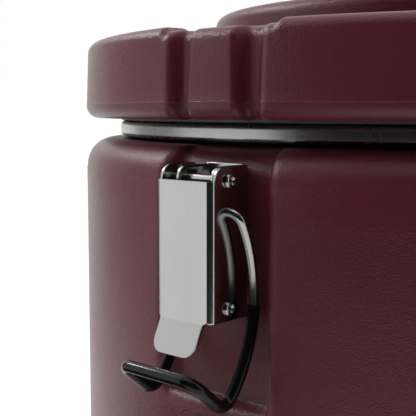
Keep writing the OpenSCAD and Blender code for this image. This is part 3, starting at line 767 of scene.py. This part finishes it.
def loop_course():
    """Points of the right half: the bare wire down to the sleeve, then on to the crossbar."""
    reach = PIVOT_N - LEG_CURVE - FLOOR_N - SLEEVE_R - LEG_GAP
    leg_from = math.degrees(
        math.atan2(WIRE_BEND, LEG_CURVE) + math.acos(reach / math.hypot(LEG_CURVE, WIRE_BEND)))
    start = np.array([PIVOT_N, HOLE_Z]) + WIRE_BEND * toward(leg_from + 90)
    mid = start - LEG_CURVE * toward(leg_from)
    leg_to = leg_from + LEG_SWEEP
    hook_mid = mid + (LEG_CURVE - HOOK_BEND) * toward(leg_to)
    hook_to = leg_to + HOOK_TURN
    hook_end = hook_mid + HOOK_BEND * toward(hook_to)
    bar_start = hook_end + (HOOK_L - HOOK_BEND) * toward(hook_to + 90)
    bare = joined(
        [(LEVER_HALF - LEVER_SHEET - WIRE_END, PIVOT_N, HOLE_Z)],
        elbow(start, leg_from + 90, WIRE_BEND, np.linspace(-90, 0, 13)),
        curve(mid, LEG_CURVE, leg_from, leg_from + SLEEVE_FROM, 12),
    )
    sleeved = joined(
        curve(mid, LEG_CURVE, leg_from + SLEEVE_FROM, leg_to, 14),
        curve(hook_mid, HOOK_BEND, leg_to, hook_to, 12),
        [(LOOP_T, *bar_start)],
        elbow(bar_start, hook_to + 90, HOOK_BEND, np.linspace(0, 90, 13)),
    )
    return bare, sleeved


def both_halves(points):
    return points + [(-t, n, z) for t, n, z in reversed(points)]


def tube(name, points, radius, ends=()):
    """A round bar along the points, where ends thins the first few points at either end."""
    data = bpy.data.curves.new(name, "CURVE")
    data.dimensions = "3D"
    data.bevel_depth = radius * MM
    data.bevel_resolution = 6
    data.use_fill_caps = True
    spline = data.splines.new("POLY")
    spline.points.add(len(points) - 1)
    for point, (t, n, z) in zip(spline.points, points):
        point.co = (t * MM, -n * MM, z * MM, 1.0)
    for i, share in enumerate(ends):
        spline.points[i].radius = share
        spline.points[-1 - i].radius = share
    piece = bpy.data.objects.new(name, data)
    bpy.context.scene.collection.objects.link(piece)
    pick(piece)
    bpy.ops.object.convert(target="MESH")
    piece = bpy.context.object
    bpy.ops.object.shade_smooth_by_angle(angle=math.radians(40))
    return piece


def wire_loop():
    bare, sleeved = loop_course()
    return tube("front_bent_wire", both_halves(joined(bare, sleeved)), WIRE_R, WIRE_TIP)


def wire_sleeve():
    sleeved = loop_course()[1]
    first = np.array(sleeved[0])
    run = (np.array(sleeved[1]) - first) / math.dist(sleeved[1], sleeved[0])
    rolled_end = [tuple(first + step * run) for step in SLEEVE_ROLL_AT]
    return tube("front_grip_sleeve", both_halves(rolled_end + sleeved[1:]), SLEEVE_R, SLEEVE_ROLL)


def latch_bracket():
    """The bracket's folded sheet: it stands to the right in its lever, its top level with the crowns."""
    piece = softened_copy("front_latch_base", BRACKET_EDGE)
    for vertex in piece.data.vertices:
        if vertex.co.z > highest("front_lever").z * MM:
            vertex.co.z -= BRACKET_DROP * MM
        vertex.co.x += BRACKET_SHIFT * MM
    return piece


# Materials: colours are linear, scales count per metre
STIPPLE_OVER_PEEL = 2.2
BURGUNDY = ((0.112, 0.0185, 0.0285), (0.130, 0.0225, 0.0340))
BURGUNDY_ROUGH = (0.27, 0.33)
BURGUNDY_SHINE = 0.34
DRAWN_DOWN = (1.0, 1.0, 0.02)
STEEL_DARK = 0.93


def new_material(name):
    material = bpy.data.materials.new(name)
    material.use_nodes = True
    tree = material.node_tree
    return material, tree, tree.nodes["Principled BSDF"]


def node(tree, kind, **values):
    made = tree.nodes.new(kind)
    for key, value in values.items():
        if key in made.inputs:
            made.inputs[key].default_value = value
        else:
            setattr(made, key, value)
    return made


def grain_group():
    """Grain: a fine stipple on a soft peel as a height, and a slow drift for colour and roughness."""
    group = bpy.data.node_groups.new("moulded_grain", "ShaderNodeTree")
    for name in ("Stipple Scale", "Peel Scale"):
        group.interface.new_socket(name=name, in_out="INPUT", socket_type="NodeSocketFloat")
    for name in ("Height", "Drift"):
        group.interface.new_socket(name=name, in_out="OUTPUT", socket_type="NodeSocketFloat")
    start = group.nodes.new("NodeGroupInput")
    end = group.nodes.new("NodeGroupOutput")
    place = group.nodes.new("ShaderNodeTexCoord")
    stipple = node(group, "ShaderNodeTexNoise", Detail=1.5, Roughness=0.6)
    peel = node(group, "ShaderNodeTexNoise", Detail=2.0, Roughness=0.5)
    drift = node(group, "ShaderNodeTexNoise", Scale=14.0, Detail=4.0, Roughness=0.55)
    blend = node(group, "ShaderNodeMath", operation="MULTIPLY_ADD")
    blend.inputs[1].default_value = STIPPLE_OVER_PEEL
    for texture in (stipple, peel, drift):
        group.links.new(place.outputs["Object"], texture.inputs["Vector"])
    group.links.new(start.outputs["Stipple Scale"], stipple.inputs["Scale"])
    group.links.new(start.outputs["Peel Scale"], peel.inputs["Scale"])
    group.links.new(stipple.outputs["Fac"], blend.inputs[0])
    group.links.new(peel.outputs["Fac"], blend.inputs[2])
    group.links.new(blend.outputs[0], end.inputs["Height"])
    group.links.new(drift.outputs["Fac"], end.inputs["Drift"])
    return group


def use_grain(tree, group, stipple, peel):
    made = node(tree, "ShaderNodeGroup")
    made.node_tree = group
    made.inputs["Stipple Scale"].default_value = stipple
    made.inputs["Peel Scale"].default_value = peel
    return made


def ramp(tree, source, low, high, from_low=0.3, from_high=0.7):
    """Maps a value that changes over the surface to a range."""
    made = node(tree, "ShaderNodeMapRange")
    made.inputs["From Min"].default_value = from_low
    made.inputs["From Max"].default_value = from_high
    made.inputs["To Min"].default_value = low
    made.inputs["To Max"].default_value = high
    tree.links.new(source, made.inputs["Value"])
    return made.outputs["Result"]


def colour_drift(tree, source, dark, light):
    made = node(tree, "ShaderNodeMix", data_type="RGBA")
    made.inputs[6].default_value = (*dark, 1.0)
    made.inputs[7].default_value = (*light, 1.0)
    tree.links.new(ramp(tree, source, 0.0, 1.0), made.inputs[0])
    return made.outputs[2]


def bumped(tree, shader, height, strength, distance):
    bump = node(tree, "ShaderNodeBump", Strength=strength, Distance=distance)
    tree.links.new(height, bump.inputs["Height"])
    tree.links.new(bump.outputs["Normal"], shader.inputs["Normal"])


def moulded_plastic(group):
    material, tree, shader = new_material("moulded_burgundy")
    grain = use_grain(tree, group, stipple=1500.0, peel=380.0)
    tree.links.new(colour_drift(tree, grain.outputs["Drift"], *BURGUNDY), shader.inputs["Base Color"])
    tree.links.new(ramp(tree, grain.outputs["Drift"], *BURGUNDY_ROUGH), shader.inputs["Roughness"])
    shader.inputs["Specular IOR Level"].default_value = BURGUNDY_SHINE
    bumped(tree, shader, grain.outputs["Height"], strength=0.55, distance=0.0002)
    return material


def steel(name, group, colour, rough, streak, relief):
    """Stainless steel with fine drawn streaks up the sheet."""
    material, tree, shader = new_material(name)
    grain = use_grain(tree, group, stipple=900.0, peel=120.0)
    place = node(tree, "ShaderNodeTexCoord")
    stretch = node(tree, "ShaderNodeMapping")
    stretch.inputs["Scale"].default_value = DRAWN_DOWN
    streaks = node(tree, "ShaderNodeTexNoise", Scale=streak, Detail=3.0)
    tree.links.new(place.outputs["Object"], stretch.inputs["Vector"])
    tree.links.new(stretch.outputs["Vector"], streaks.inputs["Vector"])
    dark = tuple(STEEL_DARK * c for c in colour)
    tree.links.new(colour_drift(tree, grain.outputs["Drift"], dark, colour), shader.inputs["Base Color"])
    tree.links.new(ramp(tree, streaks.outputs["Fac"], *rough), shader.inputs["Roughness"])
    shader.inputs["Metallic"].default_value = 1.0
    bumped(tree, shader, streaks.outputs["Fac"], strength=relief, distance=0.0001)
    return material


def rubbery(name, group, dark, light, rough, stipple, shine=0.5):
    """A soft or foamed plastic: a little relief, and a drift between two colours."""
    material, tree, shader = new_material(name)
    grain = use_grain(tree, group, stipple=stipple, peel=stipple / 5)
    tree.links.new(colour_drift(tree, grain.outputs["Drift"], dark, light), shader.inputs["Base Color"])
    tree.links.new(ramp(tree, grain.outputs["Drift"], *rough), shader.inputs["Roughness"])
    shader.inputs["Specular IOR Level"].default_value = shine
    bumped(tree, shader, grain.outputs["Height"], strength=0.2, distance=0.0001)
    return material


def give(piece, material):
    piece.data.materials.clear()
    piece.data.materials.append(material)


# Stage
FLOOR_SPAN = 12.0
FLOOR_WHITE = 0.9
FLOOR_GLOW = 1.1
FLOOR_GLOW_SHARE = 0.85


def camera():
    data = bpy.data.cameras.new("photo_camera")
    data.sensor_width = SENSOR
    data.lens = SENSOR * FOCAL_PIXELS / FRAME_PIXELS
    data.clip_start = 0.01
    eye = bpy.data.objects.new("photo_camera", data)
    eye.location = Vector((CAMERA_RIGHT, -CAMERA_OUT, LID_Z + CAMERA_OVER_LID_EDGE)) * MM
    eye.rotation_euler = Vector(CAMERA_LOOK).to_track_quat("-Z", "Y").to_euler()
    bpy.context.scene.collection.objects.link(eye)
    bpy.context.scene.camera = eye


def lamp(name, place, target, size, power):
    data = bpy.data.lights.new(name, "AREA")
    data.shape = "SQUARE"
    data.size = size
    data.energy = power
    light = bpy.data.objects.new(name, data)
    light.location = place
    light.rotation_euler = (Vector(target) - Vector(place)).to_track_quat("-Z", "Y").to_euler()
    bpy.context.scene.collection.objects.link(light)


def seen_directly(tree):
    """1 for rays that see the background itself or mirrored, 0 for the rest."""
    path = node(tree, "ShaderNodeLightPath")
    first = node(tree, "ShaderNodeMath", operation="MAXIMUM")
    second = node(tree, "ShaderNodeMath", operation="MAXIMUM")
    tree.links.new(path.outputs["Is Camera Ray"], first.inputs[0])
    tree.links.new(path.outputs["Is Glossy Ray"], first.inputs[1])
    tree.links.new(first.outputs[0], second.inputs[0])
    tree.links.new(path.outputs["Is Transmission Ray"], second.inputs[1])
    return second.outputs[0]


def world(fill, overhead):
    """White where it is seen or mirrored. Its light grows from the horizon's fill to the overhead level."""
    made = bpy.data.worlds.new("studio")
    bpy.context.scene.world = made
    made.use_nodes = True
    tree = made.node_tree
    background = tree.nodes["Background"]
    background.inputs["Color"].default_value = (1, 1, 1, 1)
    place = node(tree, "ShaderNodeTexCoord")
    split = node(tree, "ShaderNodeSeparateXYZ")
    tree.links.new(place.outputs["Generated"], split.inputs[0])
    level = node(tree, "ShaderNodeMix", data_type="FLOAT")
    level.inputs[3].default_value = 1.0
    tree.links.new(seen_directly(tree), level.inputs[0])
    tree.links.new(ramp(tree, split.outputs["Z"], fill, overhead, 0.0, 1.0), level.inputs[2])
    tree.links.new(level.outputs[0], background.inputs["Strength"])


def floor():
    bpy.ops.object.select_all(action="DESELECT")
    bpy.ops.mesh.primitive_plane_add(size=FLOOR_SPAN, location=(0, 0, 0))
    ground = bpy.context.object
    ground.name = "studio_floor"
    material, tree, shader = new_material("studio_white")
    shader.inputs["Base Color"].default_value = (FLOOR_WHITE, FLOOR_WHITE, FLOOR_WHITE, 1)
    shader.inputs["Roughness"].default_value = 0.9
    glow = node(tree, "ShaderNodeEmission")
    glow.inputs["Color"].default_value = (1, 1, 1, 1)
    glow.inputs["Strength"].default_value = FLOOR_GLOW
    mix = node(tree, "ShaderNodeMixShader")
    tree.links.new(ramp(tree, seen_directly(tree), 0.0, FLOOR_GLOW_SHARE, 0.0, 1.0), mix.inputs[0])
    tree.links.new(shader.outputs[0], mix.inputs[1])
    tree.links.new(glow.outputs[0], mix.inputs[2])
    tree.links.new(mix.outputs[0], tree.nodes["Material Output"].inputs["Surface"])
    give(ground, material)


def screen(name, start, stop, edges, shade, mirrored_only=False):
    """A curved card out of sight: its angles are from the front latch, its edges are (distance, height)."""
    last = math.radians(stop)
    way = Vector((math.sin(last), -math.cos(last), 0))
    verts = [way * away + Vector((0, 0, height)) for away, height in edges]
    card = spun(new_piece(name, verts, chain(2, closed=False)), [(stop - start, 12)], (0, 0, 0), (0, 0, 1))
    card.visible_camera = False
    card.visible_diffuse = not mirrored_only
    card.visible_shadow = not mirrored_only
    material, tree, shader = new_material(name + "_cloth")
    shader.inputs["Base Color"].default_value = (shade, shade, shade, 1)
    shader.inputs["Roughness"].default_value = 1.0
    give(card, material)


def finished(piece, material, body, node_name):
    """Gives a piece its finish and its body, and lets it stand for a node."""
    give(piece, material)
    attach(piece, body)
    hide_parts(node_name)


def main():
    bpy.context.scene.view_settings.view_transform = "Standard"
    camera()
    world(fill=0.52, overhead=2.0)
    floor()
    screen("dark_screen", -22.0, 84.0, ((1.1, 0.0), (1.1, 1.7)), shade=0.01)
    screen("grey_screen", -90.0, -60.0, ((1.25, 0.0), (1.25, 0.9)), shade=0.4)
    screen("dark_mat", -62.0, -8.0, ((0.27, 0.001), (1.0, 0.001)), shade=0.02, mirrored_only=True)
    lamp("key_softbox", place=(-1.22, -0.45, 1.25), target=(0, -0.1, 0.35), size=0.3, power=7.0)

    group = grain_group()
    finishes = {
        "moulded_plastic": moulded_plastic(group),
        "satin_steel": steel(
            "satin_steel", group, colour=(0.45, 0.45, 0.447),
            rough=(0.12, 0.19), streak=700.0, relief=0.05),
        "pot_steel": steel(
            "pot_steel", group, colour=(0.38, 0.38, 0.376),
            rough=(0.24, 0.28), streak=300.0, relief=0.01),
        "polished_steel": steel(
            "polished_steel", group, colour=(0.42, 0.42, 0.416),
            rough=(0.14, 0.22), streak=500.0, relief=0.03),
        "black_sleeve": rubbery(
            "black_sleeve", group, dark=(0.004, 0.004, 0.0042), light=(0.007, 0.007, 0.0072),
            rough=(0.15, 0.20), stipple=700.0, shine=0.26),
        "black_plastic": rubbery(
            "black_plastic", group, dark=(0.012, 0.0115, 0.012), light=(0.02, 0.019, 0.02),
            rough=(0.40, 0.50), stipple=900.0),
        "silicone": rubbery(
            "grey_silicone", group, dark=(0.055, 0.054, 0.052), light=(0.075, 0.073, 0.07),
            rough=(0.45, 0.60), stipple=600.0),
        "foam": rubbery(
            "cream_foam", group, dark=(0.62, 0.54, 0.34), light=(0.74, 0.66, 0.44),
            rough=(0.85, 0.95), stipple=300.0),
    }
    record = frame["record"]
    slots = {part["node"]: part["material_slot"] for part in record["subparts"]}
    bodies = {name: body for body, names in record["behaviour"]["bodies"].items() for name in names}
    for name, slot in slots.items():
        give(nodes[name], finishes[slot])

    made = {
        "body_shell": body_moulding(),
        "lid_shell": lid_moulding(),
        "pot": pot_vessel(),
        "lid_gasket": lid_seal(),
        "vent_bush": vent_bushing(),
        "vent_cap": vent_knob(),
        "foam_plugs": softened_copy("foam_plugs", FOAM_PLUG_EDGE),
        "front_latch_base": latch_bracket(),
        "front_base_screws": softened_copy("front_base_screws", SCREW_EDGE),
        "front_lever": lever_sheet(),
        "front_pivot_pin": rivet("front_pivot_rivet", PIVOT_Z, PIN_GAP),
        "front_cross_rivet": rivet("front_lower_rivet", RIVET_Z, 0.0),
        "front_wire_loop": wire_loop(),
        "front_loop_sleeve": wire_sleeve(),
    }
    for name in [name for name in made if name.startswith("front_")]:
        back = name.replace("front_", "back_")
        made[back] = opposite(made[name], made[name].name.replace("front_", "back_"))
    for name, piece in made.items():
        finish = "pot_steel" if name == "pot" else slots[name]
        finished(piece, finishes[finish], bodies[name], name)


main()
